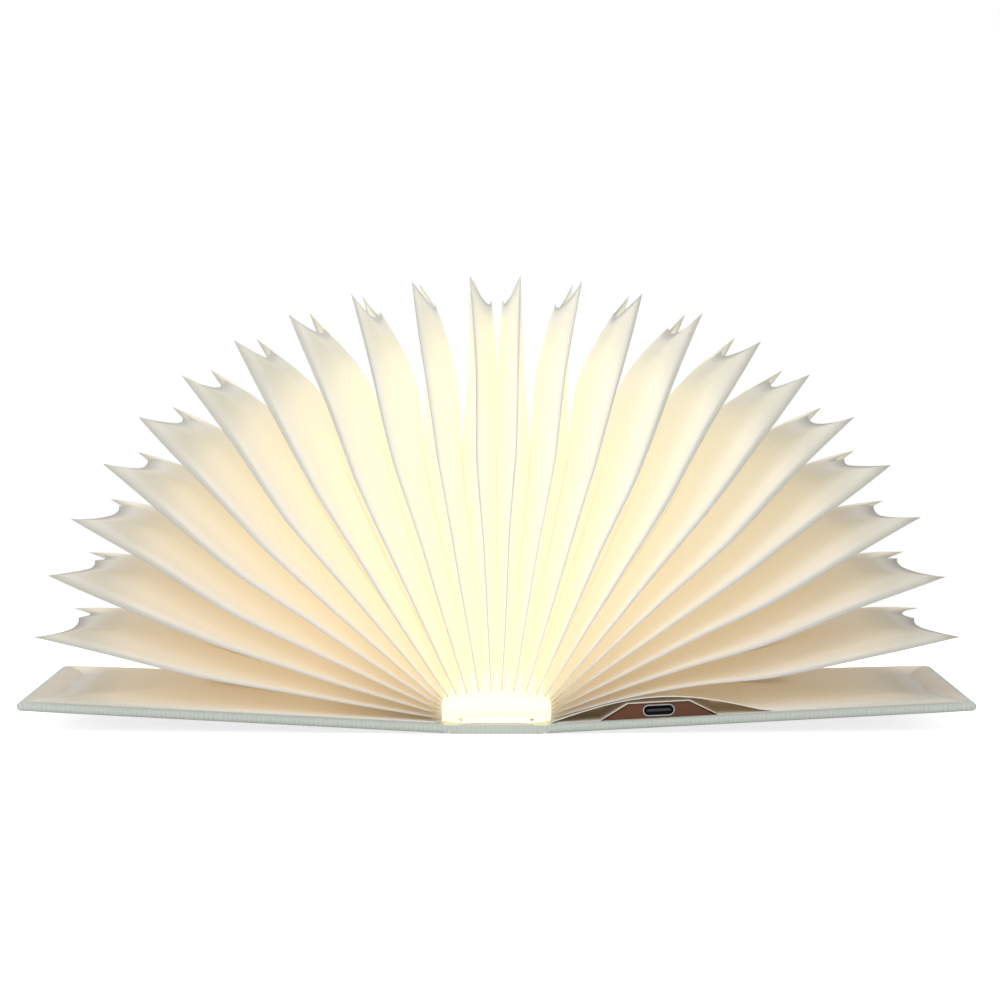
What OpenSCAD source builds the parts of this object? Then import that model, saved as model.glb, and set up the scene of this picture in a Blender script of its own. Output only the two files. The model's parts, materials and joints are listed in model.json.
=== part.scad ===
// Folding book lamp: two cloth-covered boards and a spine that open flat on a table,
// with a fan of pleated paper pages glued between them and an LED bar on the spine.
// Origin: centre of the spine's underside. X runs across the book, Y from tail to head, Z up.

/* [Covers] */
// Width of each cover, from its hinge to the fore-edge
cover_w = 122; // [112:1:140]
// Height of the book, from tail to head
cover_l = 160; // [140:1:200]
// Thickness of the cover and spine boards
board_t = 2; // [1.6:0.1:2.6]
// Thickness of the cloth wrapped round the boards
cloth_t = 0.25; // [0.2:0.05:0.4]
// Distance between the two cover hinges
spine_w = 25; // [24.5:0.5:32]
// Slope of each open cover above the table, in degrees
cover_lift = 3; // [0:0.5:6]
// Radius of the rolled cloth fold at each hinge
fold_r = 0.95; // [0.9:0.05:1.2]
// Room between a hinge and the boards beside it
hinge_gap = 1.4; // [1.3:0.05:2]
// Width of the cloth turned in over the board edges
turn_in = 14; // [13:0.5:18]

/* [Pages] */
// Width of a page, from the spine sleeve to its outer fold
page_w = 117; // [100:1:118]
// How far the pages stop short of the covers at the tail and at the head
page_inset = 3; // [2:0.5:6]
// Depth that each pleat folds in
pleat_depth = 52; // [40:1:60]
// Thickness of the page paper
paper_t = 0.2; // [0.12:0.02:0.24]
// Hollow of each page's outer fold between its corners
edge_sag = 7.8; // [0:0.2:12]
// Droop of the low pages between the spine and their corners
page_droop = 3.4; // [0:0.2:5]
// How far the pages crowd together at the top of the fan
fan_crowd = 1.1; // [1:0.02:1.2]
// Thickness of the end leaves glued to the covers
leaf_t = 0.25; // [0.2:0.05:0.4]

/* [Spine sleeve] */
// How far the sleeve bulges past each hinge
sleeve_bulge = 2.7; // [2:0.1:3.2]
// Height of the sleeve above the spine
sleeve_h = 8.6; // [7.6:0.1:10]
// Thickness of the sleeve
sleeve_t = 0.25; // [0.2:0.05:0.4]

/* [Light bar] */
// Width of the light bar
bar_w = 19; // [17:0.5:19]
// How far the light bar stops short of the pages at the tail and at the head
bar_inset = 2; // [2:0.5:12]
// Thickness of the channel floor and walls
channel_wall = 0.9; // [0.7:0.1:1.1]
// Height of the channel walls
channel_h = 1.7; // [1.6:0.1:2.2]
// Rise of the diffuser above the channel walls
diffuser_h = 2.3; // [2:0.1:3]
// Thickness of the diffuser
diffuser_t = 0.8; // [0.6:0.1:1]
// Thickness of the LED board
led_board_t = 0.8; // [0.6:0.1:1]
// Distance between neighbouring LEDs
led_pitch = 11; // [8:0.5:16]
// Thickness of the adhesive under the channel
tape_t = 0.2; // [0.1:0.05:0.4]
// Thickness of the end caps
cap_t = 1.5; // [1:0.1:2]

/* [Charging module] */
// Distance of the charging port from the back cover's hinge
port_u = 33.25; // [30:0.25:44]
// Width of the module tray
tray_w = 16.5; // [16:0.5:22]
// Length of the module tray
tray_l = 26; // [24:1:40]
// Height of the module tray above the cloth
tray_h = 4.3; // [4.15:0.05:4.8]
// Thickness of the tray walls
tray_wall = 0.8; // [0.6:0.1:1]
// Length of the battery
battery_l = 44; // [30:1:50]
// Thickness of the battery
battery_t = 4; // [3:0.1:4.2]
// Width of the charging port's shell
port_w = 8.94; // [8.5:0.02:9.2]
// Height of the charging port's shell
port_h = 3.26; // [3:0.02:3.4]
// Run of the paper's slope down from the module to the cover
tent_run = 8; // [6:0.5:12]

/* [Magnets] */
// Diameter of the closing magnets
magnet_d = 8; // [6:0.5:10]
// Thickness of the closing magnets
magnet_t = 1.5; // [1:0.1:1.5]

/* [Hidden] */
$fn = 48;
side_ridges = 12;                          // outer folds on each side of the fan
side_pleats = side_ridges - 1;             // whole pleats on each side of the fan
FRONT = -1;                                // side of the front cover
BACK = 1;                                  // side of the back cover
seat = 0.02;                               // gap between pieces that lie on each other
fit = 0.1;                                 // clearance of a piece in its pocket
cut = 1;                                   // how far a cutting solid runs past a face

hinge_x = spine_w / 2;
hinge_z = fold_r;
slab_t = board_t + 2 * cloth_t;            // a cover with its cloth
slab_mid = slab_t / 2 - hinge_z;           // heights from here to page_rest are above the hinge
board_top = slab_mid + board_t / 2;
slab_top = slab_mid + slab_t / 2;
page_rest = slab_top + leaf_t;             // top of an end leaf, where the last fold lies
spine_top = slab_t;                        // height of the spine's liner above the table

spine_l = cover_l - 2 * cloth_t;           // spine board and liner, between the turned-up cloth
page_l = cover_l - 2 * page_inset;
fan_half = 90 - cover_lift;                // angle from upright to the fold on a cover
sleeve_x = hinge_x + sleeve_bulge;
sleeve_top = spine_top + sleeve_h;
shoulder_drop = 2.9;                       // the sleeve's top falls this far to its shoulders
sleeve_shoulder = sleeve_top - shoulder_drop;
sleeve_foot = hinge_z + sleeve_bulge * tan(cover_lift) + (page_rest + seat) / cos(cover_lift);
page_start = 0.35;                         // the paper begins this far outside the sleeve
crease = 0.5;                              // depth of paper pinched in an outer fold
end_steps = 5;                             // paper facets along the head or tail edge
fore_steps = 4;                            // paper facets along the outer fold

leaf_u = hinge_gap + slab_top - slab_mid + slab_t / 2 + 0.6;  // inner edge of an end leaf
leaf_end = sleeve_bulge + page_w;          // outer edge of an end leaf
window_l = cover_l - 2 * turn_in;
magnet_u = cover_w - turn_in / 2 - 0.5;
magnet_y = cover_l / 2 - 22;

bar_l = page_l - 2 * bar_inset;
channel_z = spine_top + tape_t;
rim_z = channel_z + channel_h;
bar_top = rim_z + diffuser_h;
led_z = channel_z + channel_wall;
leg_t = 0.6;                               // thickness of the diffuser's clip legs
led_board_w = bar_w - 2 * (channel_wall + leg_t + 2 * fit);
led_board_l = bar_l - 6;
led_size = [3.5, 2.8, 0.7];
led_rows = [-0.25, 0.25];                  // rows, as shares of the board's width
led_count = floor((led_board_l - led_size[1]) / led_pitch);
lead_w = 4;
lead_t = 0.2;
lead_bend = 0.8;                           // the lead turns up this far from the board's edge
lead_y = -page_l / 2 + 19;

tray_y = -page_l / 2 + 0.8;                // front face of the module
tray_top = slab_top + tray_h;
tray_floor = 0.4;
port_mid = slab_top + tray_floor + port_h / 2 + fit;
port_l = 7.5;
port_wall = 0.3;
pcb_t = 0.8;
pcb_z = slab_top + tray_floor + 0.5;
pcb_top = pcb_z + pcb_t;
pcb_w = tray_w - 2 * tray_wall - 2 * fit;
pcb_l = tray_l - 3;
reed_d = 1.8;
reed_l = 12;
reed_u = port_u + 5.2;
reed_y = tray_y + tray_l / 2 + 3;
battery_y = tray_y + tray_l + 2;
tent_top = tray_top + 0.05;
tent_l = tray_l + battery_l + 5;
mound_lift = 1.6 * (tent_top - slab_top);  // rise of the lowest pages over the module
mound_mid = port_u - sleeve_bulge;         // where along a page that rise is greatest

function pleat_name(n) = str("pleat_", n < 10 ? "0" : "", n);

// ---------- placing ----------

// Draws its children on one side; they are written for the back side, where X runs outwards.
module on_side(side) {
    mirror([side < 0 ? 1 : 0, 0, 0]) children();
}

// A cover's own frame: X from the hinge to the fore-edge, Z up from the hinge axis.
module on_cover(side) {
    on_side(side) translate([hinge_x, 0, hinge_z]) rotate([0, -cover_lift, 0]) children();
}

// Where a point of the back cover's frame lies, as [x, z].
function cover_point(u, w) = [
    hinge_x + u * cos(cover_lift) - w * sin(cover_lift),
    hinge_z + u * sin(cover_lift) + w * cos(cover_lift)];

// A block centred on Y = 0, from low corner [x, z] to high corner [x, z].
module block(low, high, length) {
    translate([low[0], -length / 2, low[1]])
        cube([high[0] - low[0], length, high[1] - low[1]]);
}

// An outline in X and Z, drawn along Y from y0 to y1.
module bar_of(y0, y1) {
    translate([0, y1, 0]) rotate([90, 0, 0]) linear_extrude(y1 - y0) children();
}

// ---------- covers and spine ----------

// A cover slab whose three outer edges are rounded with radius r about the board's middle.
module slab(r) {
    inset = slab_t / 2;
    run = cover_w - inset;
    half = cover_l / 2 - inset;
    translate([0, 0, slab_mid]) {
        block([hinge_gap, -r], [run, r], 2 * half);
        translate([run, 0, 0]) rotate([90, 0, 0]) cylinder(r = r, h = 2 * half, center = true);
        for (s = [-1, 1]) {
            translate([hinge_gap, s * half, 0]) rotate([0, 90, 0])
                cylinder(r = r, h = run - hinge_gap);
            translate([run, s * half, 0]) sphere(r = r);
        }
    }
}

// The wedge that bevels an edge beside a hinge, so that the cover can fold shut.
module bevel() {
    bar_of(-cover_l / 2 - cut, cover_l / 2 + cut)
        polygon([[0, 0], [hinge_gap, 0], [hinge_gap + slab_t, slab_t], [0, slab_t]]);
}

module cover_board(side, with_sensor) {
    on_cover(side) difference() {
        slab(board_t / 2);
        bevel();
        for (s = [-1, 1]) translate([magnet_u, s * magnet_y, board_top - magnet_t])
            cylinder(d = magnet_d + 2 * fit, h = magnet_t + cut);
        if (with_sensor) sensor_pocket(fit);
    }
}

module sensor_pocket(room) {
    size = [3, 10, 1];
    translate([reed_u - size[0] / 2 - room, reed_y - size[1] / 2 - room, board_top - size[2]])
        cube([size[0] + 2 * room, size[1] + 2 * room, size[2] + room]);
}

module cover_cloth(side) {
    on_cover(side) difference() {
        slab(slab_t / 2);
        slab(board_t / 2);
        bevel();
        block([0, board_top], [cover_w - turn_in, slab_top + cut], window_l);
    }
}

module magnets(side) {
    on_cover(side) for (s = [-1, 1])
        translate([magnet_u, s * magnet_y, board_top - magnet_t]) cylinder(d = magnet_d, h = magnet_t);
}

// The sheet pasted on a cover: it fills the window between the turned-in cloth edges.
module leaf_sheet() {
    block([leaf_u, slab_top], [leaf_end, page_rest], page_l);
    block([leaf_u, board_top], [cover_w - turn_in - fit, slab_top], window_l - 2 * fit);
}

module spine_board() {
    color("tan") spine_strip(cloth_t, cloth_t + board_t, spine_l);
}

// A strip of the spine between two heights, bevelled beside the hinges.
module spine_strip(z0, z1, l) {
    foot = hinge_x - hinge_gap;
    head = foot - max(0, z1 - hinge_z);
    neck = min(max(hinge_z, z0), z1);
    shoulder = foot - max(0, z0 - hinge_z);
    bar_of(-l / 2, l / 2)
        polygon([[-shoulder, z0], [shoulder, z0], [shoulder, neck], [head, z1],
                 [-head, z1], [-shoulder, neck]]);
}

// The cloth runs under the spine and is turned up over its head and tail ends.
module spine_cloth() {
    color("darkseagreen") union() {
        block([-hinge_x, 0], [hinge_x, cloth_t], cover_l);
        difference() {
            spine_strip(0, spine_top, cover_l);
            block([-hinge_x, cloth_t], [hinge_x, spine_top + cut], spine_l);
        }
        for (s = [-1, 1]) translate([s * hinge_x, 0, hinge_z]) rotate([90, 0, 0])
            cylinder(r = fold_r, h = cover_l, center = true);
    }
}

module spine_liner() {
    color("whitesmoke") spine_strip(cloth_t + board_t, spine_top, spine_l);
}

// ---------- light bar ----------

module bar_tape() {
    color("gold") block([-bar_w / 2 + 2, spine_top], [bar_w / 2 - 2, channel_z], bar_l - 4);
}

module bar_channel() {
    color("silver") difference() {
        block([-bar_w / 2, channel_z], [bar_w / 2, rim_z], bar_l);
        block([-bar_w / 2 + channel_wall, led_z], [bar_w / 2 - channel_wall, rim_z + cut], bar_l + cut);
        translate([0, lead_y - lead_w / 2 - fit, led_z])
            cube([bar_w, lead_w + 2 * fit, rim_z - led_z + cut]);
    }
}

module led_board() {
    color("white") block([-led_board_w / 2, led_z], [led_board_w / 2, led_z + led_board_t], led_board_l);
}

module led_chips() {
    color("lemonchiffon") for (row = led_rows, i = [0:led_count])
        translate([row * led_board_w, (i - led_count / 2) * led_pitch, led_z + led_board_t + led_size[2] / 2])
            cube(led_size, center = true);
}

// The crowned outline of the diffuser, drawn in by inset all round.
module crown(inset) {
    half = bar_w / 2;
    side_h = diffuser_h / 3;
    rise = diffuser_h - side_h;
    radius = (half * half + rise * rise) / (2 * rise);
    intersection() {
        translate([-half + inset, rim_z]) square([bar_w - 2 * inset, diffuser_h - inset]);
        translate([0, bar_top - radius]) circle(r = radius - inset, $fn = 180);
    }
}

module diffuser() {
    inner = bar_w / 2 - channel_wall - fit;
    color("ivory") {
        bar_of(-bar_l / 2, bar_l / 2) difference() {
            union() {
                crown(0);
                for (s = [-1, 1])
                    translate([s * (inner - leg_t / 2) - leg_t / 2, led_z + 0.15])
                        square([leg_t, rim_z - led_z + diffuser_h / 3 - 0.15]);
            }
            difference() {
                translate([-inner + leg_t, channel_z]) square([2 * (inner - leg_t), diffuser_h + channel_h]);
                translate([-bar_w, rim_z]) difference() {
                    square([2 * bar_w, diffuser_h + cut]);
                    translate([bar_w, -rim_z]) crown(diffuser_t);
                }
            }
        }
    }
}

module end_cap(end) {
    plug_half = bar_w / 2 - channel_wall - leg_t - 3 * fit;
    plug_z = led_z + led_board_t + fit;
    color("ivory") mirror([0, end < 0 ? 1 : 0, 0]) {
        bar_of(bar_l / 2, bar_l / 2 + cap_t) {
            crown(0);
            translate([-bar_w / 2, channel_z]) square([bar_w, channel_h]);
        }
        bar_of(bar_l / 2 - 2, bar_l / 2)
            translate([-plug_half, plug_z]) square([2 * plug_half, rim_z + 0.4 - plug_z]);
    }
}

// ---------- pages ----------

// Angle from upright of outer fold i, counted from the middle of the fan to the cover.
function ridge_angle(i) = fan_half * pow((i - 0.5) / (side_ridges - 0.5), fan_crowd);

function valley_angle(i) = i == 0 ? 0 : (ridge_angle(i) + ridge_angle(i + 1)) / 2;

// Where a page at this angle leaves the sleeve, as [x, z].
function root_point(angle) = [
    sleeve_x * sin(min(2 * angle, 90)),
    angle < 45 ? sleeve_shoulder + shoulder_drop * cos(2 * angle)
               : sleeve_shoulder - (sleeve_shoulder - sleeve_foot) * (angle - 45) / (fan_half - 45)];

// How far a page near the back cover rises to pass over the module.
function rise_over_module(side, angle, r, y) =
    side == BACK && y < 0 ? mound_lift * pow(angle / fan_half, 4) * sin(90 * min(2, r / mound_mid)) : 0;

// A point of a page: r out from the sleeve, y along the book, shift towards the cover.
function page_point(side, angle, r, y, shift = 0) =
    let (root = root_point(angle),
         free = 1 - pow(angle / fan_half, 6),
         bend = shift + page_droop * sin(angle) * free * sin(180 * r / page_w)
                - rise_over_module(side, angle, r, y))
    [root[0] + r * sin(angle) + bend * cos(angle), y, root[1] + r * cos(angle) - bend * sin(angle)];

// Stations round a page, from the spine up the tail, along the fore-edge and down the head.
// Each is [r of the outer fold, y of the outer fold, r of the inner fold, y of the inner fold].
function end_station(end, f) = [
    page_start + f * (page_w - page_start), end * page_l / 2,
    page_start + f * (page_w - pleat_depth - page_start), end * (page_l / 2 - pleat_depth)];

function fore_station(t) = [
    page_w - edge_sag * 4 * t * (1 - t), (t - 0.5) * page_l,
    page_w - pleat_depth, (t - 0.5) * (page_l - 2 * pleat_depth)];

stations = concat(
    [for (i = [0:end_steps]) end_station(-1, i / end_steps)],
    [for (i = [1:fore_steps - 1]) fore_station(i / fore_steps)],
    [for (i = [end_steps:-1:0]) end_station(1, i / end_steps)]);

function outer_point(side, angle, s, shift = 0) = page_point(side, angle, s[0], s[1], shift);
function inner_point(side, angle, s) = page_point(side, angle, s[2], s[3]);
function in_page(side, angle, s, share) =
    outer_point(side, angle, s) * (1 - share) + inner_point(side, angle, s) * share;

// Depth at which the two leaves of a pleat meet, as a share of the pleat's depth.
function pocket(gap) = max(0.2, 1 - paper_t / gap);

// Section of a whole pleat at one station: two leaves that meet in the inner fold.
function pleat_ring(side, a, v, b, s) =
    let (gap = norm(outer_point(side, b, s) - outer_point(side, a, s)) / 2)
    [outer_point(side, a, s), outer_point(side, a, s, paper_t), in_page(side, v, s, pocket(gap)),
     outer_point(side, b, s, -paper_t), outer_point(side, b, s),
     in_page(side, b, s, crease / pleat_depth), inner_point(side, v, s),
     in_page(side, a, s, crease / pleat_depth)];

// Section of the half pleat beside the middle of the fan: one leaf.
function half_ring(side, b, s) =
    let (gap = norm(outer_point(side, b, s) - outer_point(side, 0, s)))
    [in_page(side, 0, s, pocket(gap)), outer_point(side, b, s, -paper_t), outer_point(side, b, s),
     in_page(side, b, s, crease / pleat_depth), inner_point(side, 0, s)];

PLEAT_CAP = [[0, 1, 2], [0, 2, 6], [0, 6, 7], [3, 4, 5], [3, 5, 6], [3, 6, 2]];
PLEAT_INWARD = [1, 4, 5];                  // edges of the section that run from outer fold to inner
HALF_CAP = [[1, 2, 3], [1, 3, 4], [1, 4, 0]];
HALF_INWARD = [2, 3];

// Paper skinned over a list of sections, closed at its two ends by cap. A leaf is twisted, so both
// of its faces are split along the same diagonal, which keeps the sheet evenly thick.
module paper(rings, cap, inward) {
    m = len(rings[0]);
    last = (len(rings) - 1) * m;
    sides = [for (i = [0:len(rings) - 2], j = [0:m - 1])
        let (p = i * m + j, q = i * m + (j + 1) % m)
        each len(search(j, inward)) > 0 ? [[p, p + m, q], [p + m, q + m, q]]
                                        : [[p, p + m, q + m], [p, q + m, q]]];
    far = [for (f = cap) [last + f[2], last + f[1], last + f[0]]];
    polyhedron(points = [for (ring = rings) each ring], faces = concat(cap, sides, far));
}

// Pleat i of one side, between outer folds i and i + 1.
module pleat(side, i) {
    color("linen") on_side(side)
        paper([for (s = stations)
                  pleat_ring(side, ridge_angle(i), valley_angle(i), ridge_angle(i + 1), s)],
              PLEAT_CAP, PLEAT_INWARD);
}

module centre_pleat(side) {
    color("linen") on_side(side) paper([for (s = stations) half_ring(side, ridge_angle(1), s)],
                                       HALF_CAP, HALF_INWARD);
}

// Thin tube of paper round the light bar, on which the pages stand.
// An arch of paper over the light bar, closed at the head and tail by a wall of the same paper.
module light_sleeve() {
    steps = 24;
    angles = [for (i = [-steps:steps]) fan_half * i / steps];
    outside = [for (a = angles) let (p = root_point(abs(a))) [sign(a) * p[0], p[1]]];
    inside = [for (p = outside) [p[0] * (1 - sleeve_t / sleeve_x), p[1] - sleeve_t * p[1] / sleeve_top]];
    n = len(outside);
    color("ivory") union() {
        bar_of(-page_l / 2, page_l / 2)
            polygon(concat(outside, [for (i = [n - 1:-1:0]) inside[i]]));
        for (s = [-1, 1]) translate([0, s * (page_l - sleeve_t) / 2, 0])
            bar_of(-sleeve_t / 2, sleeve_t / 2) polygon(outside);
    }
}

// ---------- front cover ----------

module front_board() { color("tan") cover_board(FRONT, true); }

module front_cloth() { color("darkseagreen") cover_cloth(FRONT); }

module front_end_leaf() { color("linen") on_cover(FRONT) leaf_sheet(); }

module front_magnets() { color("silver") magnets(FRONT); }

module sense_magnet() { color("dimgray") on_cover(FRONT) sensor_pocket(0); }

// ---------- back cover ----------

module back_board() { color("tan") cover_board(BACK, false); }

module back_cloth() { color("darkseagreen") cover_cloth(BACK); }

module back_magnets() { color("silver") magnets(BACK); }

// The mound over the module; grow adds the paper's thickness and reach runs past the open faces.
module tent(grow, reach) {
    half = tray_w / 2 + 0.3 + grow;
    foot = half + tent_run;
    y0 = -page_l / 2 - reach;
    floor_w = board_top - reach;
    hull() {
        translate([port_u, 0, 0]) bar_of(y0, tent_l - page_l / 2)
            polygon([[-foot, floor_w], [foot, floor_w], [foot, slab_top], [half, tent_top + grow],
                     [-half, tent_top + grow], [-foot, slab_top]]);
        translate([port_u - foot, y0, floor_w])
            cube([2 * foot, tent_l + tent_run + grow + reach, slab_top - floor_w]);
    }
}

module back_end_leaf() {
    color("linen") on_cover(BACK) difference() {
        union() {
            leaf_sheet();
            tent(leaf_t, 0);
        }
        tent(0, cut);
        translate([0, -cover_l, board_top - cut])
            cube([cover_w, cover_l - window_l / 2 + fit, slab_top - board_top + cut]);
        translate([leaf_u - cut, lead_y - lead_w / 2 - fit, board_top - cut])
            cube([port_u - leaf_u, lead_w + 2 * fit, slab_top - board_top + cut]);
    }
}

// Rounded slot outline of the charging port, as wide and high as given.
module slot(w, h) {
    square([w - h, h], center = true);
    for (s = [-1, 1]) translate([s * (w - h) / 2, 0]) circle(d = h);
}

module module_tray() {
    half = tray_w / 2;
    apron = half + tent_run - 0.6;
    color("saddlebrown") on_cover(BACK) translate([port_u, 0, 0]) difference() {
        union() {
            bar_of(tray_y, tray_y + 1)
                polygon([[-apron, slab_top], [apron, slab_top], [half, tray_top], [-half, tray_top]]);
            bar_of(tray_y, tray_y + tray_l) difference() {
                translate([-half, slab_top]) square([tray_w, tray_h]);
                translate([-half + tray_wall, slab_top + tray_floor])
                    square([tray_w - 2 * tray_wall, tray_h]);
            }
            for (s = [-1, 1]) translate([s * (half - tray_wall - 0.5) - 0.5, tray_y, slab_top])
                cube([1, tray_l, pcb_z - slab_top]);
        }
        translate([0, 0, port_mid]) bar_of(tray_y - cut, tray_y + 1 + fit)
            slot(port_w + 2 * fit, port_h + 2 * fit);
    }
}

module charge_board() {
    y0 = tray_y + 1 + fit;
    color("darkgreen") on_cover(BACK) translate([port_u, 0, 0]) difference() {
        translate([-pcb_w / 2, y0, pcb_z]) cube([pcb_w, pcb_l, pcb_t]);
        translate([-port_w / 2 - fit, y0 - cut, pcb_z - cut])
            cube([port_w + 2 * fit, port_l - 1 + cut, pcb_t + 2 * cut]);
    }
}

module charge_parts() {
    y0 = tray_y + 10;
    color("black") on_cover(BACK) translate([port_u, y0, pcb_top]) {
        translate([-3.5, 0, 0]) cube([3, 3, 0.9]);
        translate([-3.5, 5, 0]) cube([3, 3, 1.4]);
        translate([1, 6, 0]) cube([2.6, 1.6, 1.1]);
        for (i = [0:3]) translate([-6 + 1.6 * i, 10, 0]) cube([1, 0.6, 0.5]);
    }
}

module usb_shell() {
    color("silver") on_cover(BACK) translate([port_u, 0, port_mid])
        bar_of(tray_y, tray_y + port_l) difference() {
            slot(port_w, port_h);
            slot(port_w - 2 * port_wall, port_h - 2 * port_wall);
        }
}

module usb_tongue() {
    w = port_w - 2 * port_wall;
    h = port_h - 2 * port_wall;
    color("black") on_cover(BACK) translate([port_u, 0, port_mid]) {
        bar_of(tray_y + port_l - 1.2, tray_y + port_l) slot(w, h);
        bar_of(tray_y + 0.8, tray_y + port_l - 1.2) translate([-3.3, -0.35]) square([6.6, 0.7]);
    }
}

module reed_switch() {
    color("seagreen") on_cover(BACK) translate([reed_u, reed_y, pcb_top + reed_d / 2]) {
        rotate([90, 0, 0]) cylinder(d = reed_d, h = reed_l, center = true);
    }
}

module battery() {
    color("lightsteelblue") on_cover(BACK)
        translate([port_u - tray_w / 2, battery_y, board_top]) cube([tray_w, battery_l, battery_t]);
}

module battery_leads() {
    color("red") on_cover(BACK) for (s = [-1, 1])
        translate([port_u + s * 1.5, battery_y, pcb_top + 0.5]) rotate([90, 0, 0])
            cylinder(d = 1, h = battery_y - tray_y - tray_l + 5, $fn = 24);
}

// Flat lead from the charge board across the hinge to the light bar.
module lamp_lead() {
    mid = board_top + (slab_top - board_top) / 2;
    route = [cover_point(port_u - tray_w / 2 - fit, mid), cover_point(hinge_gap + lead_bend, mid),
             [hinge_x - 0.6, led_z + 0.4], [bar_w / 2 + 0.4, led_z + 0.5],
             [bar_w / 2 - channel_wall + fit, led_z + 0.5]];
    color("whitesmoke") bar_of(lead_y - lead_w / 2, lead_y + lead_w / 2)
        polygon(concat([for (p = route) p + [0, lead_t / 2]],
                       [for (i = [len(route) - 1:-1:0]) route[i] - [0, lead_t / 2]]));
}

// ---------- nodes ----------

spine_board();
spine_cloth();
spine_liner();
bar_tape();
bar_channel();
led_board();
led_chips();
diffuser();
end_cap(-1);  // front_end_cap
end_cap(1);  // rear_end_cap
light_sleeve();
front_board();
front_cloth();
front_end_leaf();
front_magnets();
sense_magnet();
back_board();
back_cloth();
back_end_leaf();
back_magnets();
module_tray();
battery();
battery_leads();
charge_board();
charge_parts();
usb_shell();
usb_tongue();
reed_switch();
lamp_lead();
centre_pleat(FRONT);  // centre_pleat_left
centre_pleat(BACK);  // centre_pleat_right
for (n = [1:side_pleats])
    pleat(FRONT, side_pleats + 1 - n);
for (n = [side_pleats + 1:2 * side_pleats])
    pleat(BACK, n - side_pleats);
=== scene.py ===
# %% [markdown]
# # A folding book lamp
# The lamp is a small book whose pages are one long pleated strip of paper. The solid model gives
# the covers, the spine, the light bar and the charging module. This script keeps those solids,
# gives each its finish, and builds the paper anew with a finer shape than the solids have.

# %% Load the solid model
import json
import math

import bmesh
import bpy
import numpy as np
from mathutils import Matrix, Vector


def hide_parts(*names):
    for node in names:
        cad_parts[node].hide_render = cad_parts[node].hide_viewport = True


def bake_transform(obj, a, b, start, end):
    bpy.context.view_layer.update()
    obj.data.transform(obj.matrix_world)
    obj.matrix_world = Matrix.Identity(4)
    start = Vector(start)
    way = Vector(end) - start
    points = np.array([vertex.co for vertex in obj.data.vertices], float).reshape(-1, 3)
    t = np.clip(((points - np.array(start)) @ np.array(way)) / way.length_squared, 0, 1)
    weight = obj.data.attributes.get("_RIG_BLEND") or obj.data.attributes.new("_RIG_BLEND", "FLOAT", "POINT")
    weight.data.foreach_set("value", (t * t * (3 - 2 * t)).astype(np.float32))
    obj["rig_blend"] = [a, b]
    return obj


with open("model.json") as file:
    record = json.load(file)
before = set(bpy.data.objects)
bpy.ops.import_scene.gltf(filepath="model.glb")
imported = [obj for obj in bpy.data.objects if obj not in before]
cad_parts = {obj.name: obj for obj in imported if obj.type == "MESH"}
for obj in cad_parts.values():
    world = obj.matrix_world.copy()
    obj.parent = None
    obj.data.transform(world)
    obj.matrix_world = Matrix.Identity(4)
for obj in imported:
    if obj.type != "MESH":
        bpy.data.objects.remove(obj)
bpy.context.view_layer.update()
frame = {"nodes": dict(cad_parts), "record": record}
MM = 0.001

# %% [markdown]
# ## Camera
# A long lens from a metre and a half away keeps the fan's proportions nearly as they would be on
# a drawing. It stands a hand's height above the table and tips down a little, so that the tops of
# the covers show as a thin line and each page's far corner shows beside its near one.

# %% Camera
CAMERA_PLACE = (0.0002, -1.604, 0.1165)
CAMERA_TIP, CAMERA_TURN = 1.92, -0.03          # degrees down from level, and to the left
camera_data = bpy.data.cameras.new("camera")
camera_data.lens = 196.6
camera_data.sensor_width = 36.0
camera_data.clip_end = 20.0
camera = bpy.data.objects.new("camera", camera_data)
camera.location = CAMERA_PLACE
camera.rotation_euler = (math.radians(90 - CAMERA_TIP), 0, math.radians(CAMERA_TURN))
bpy.context.scene.collection.objects.link(camera)
bpy.context.scene.camera = camera
bpy.context.scene.view_settings.view_transform = "Standard"
print("the camera stands", -CAMERA_PLACE[1], "m from the spine")

# %% [markdown]
# ## A formula writer for node trees
# Geometry Nodes and materials both do arithmetic with Math nodes. Drawing each one by hand hides
# the rule in wiring, so `Term` lets a rule be written as a normal sum. Every operator adds one
# Math node to the tree and returns its output as a new term.

# %% Formula writer
class Term:
    """A value in a node tree that can be added, multiplied and so on."""

    def __init__(self, tree, source):
        self.tree = tree
        self.source = source

    def math(self, operation, *others):
        node = self.tree.nodes.new("ShaderNodeMath")
        node.operation = operation
        for socket, value in zip(node.inputs, (self, *others)):
            if isinstance(value, Term):
                self.tree.links.new(value.source, socket)
            else:
                socket.default_value = float(value)
        return Term(self.tree, node.outputs[0])

    def __add__(self, other): return self.math("ADD", other)
    def __radd__(self, other): return self.math("ADD", other)
    def __sub__(self, other): return self.math("SUBTRACT", other)
    def __rsub__(self, other): return (self * -1) + other
    def __mul__(self, other): return self.math("MULTIPLY", other)
    def __rmul__(self, other): return self.math("MULTIPLY", other)
    def __truediv__(self, other): return self.math("DIVIDE", other)
    def __pow__(self, other): return self.math("POWER", other)
    def sin(self): return self.math("SINE")
    def cos(self): return self.math("COSINE")
    def size(self): return self.math("ABSOLUTE")
    def at_least(self, low): return self.math("MAXIMUM", low)
    def at_most(self, high): return self.math("MINIMUM", high)
    def held(self): return self.at_least(0).at_most(1)
    def below(self, limit): return self.math("LESS_THAN", limit)


def new_inputs(tree, wanted):
    """Adds number inputs with these names and starting values to a node group."""
    for name, value in wanted.items():
        socket = tree.interface.new_socket(name, in_out="INPUT", socket_type="NodeSocketFloat")
        socket.default_value = value
    entry = tree.nodes.new("NodeGroupInput")
    return {name: Term(tree, entry.outputs[name]) for name in wanted}

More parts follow.
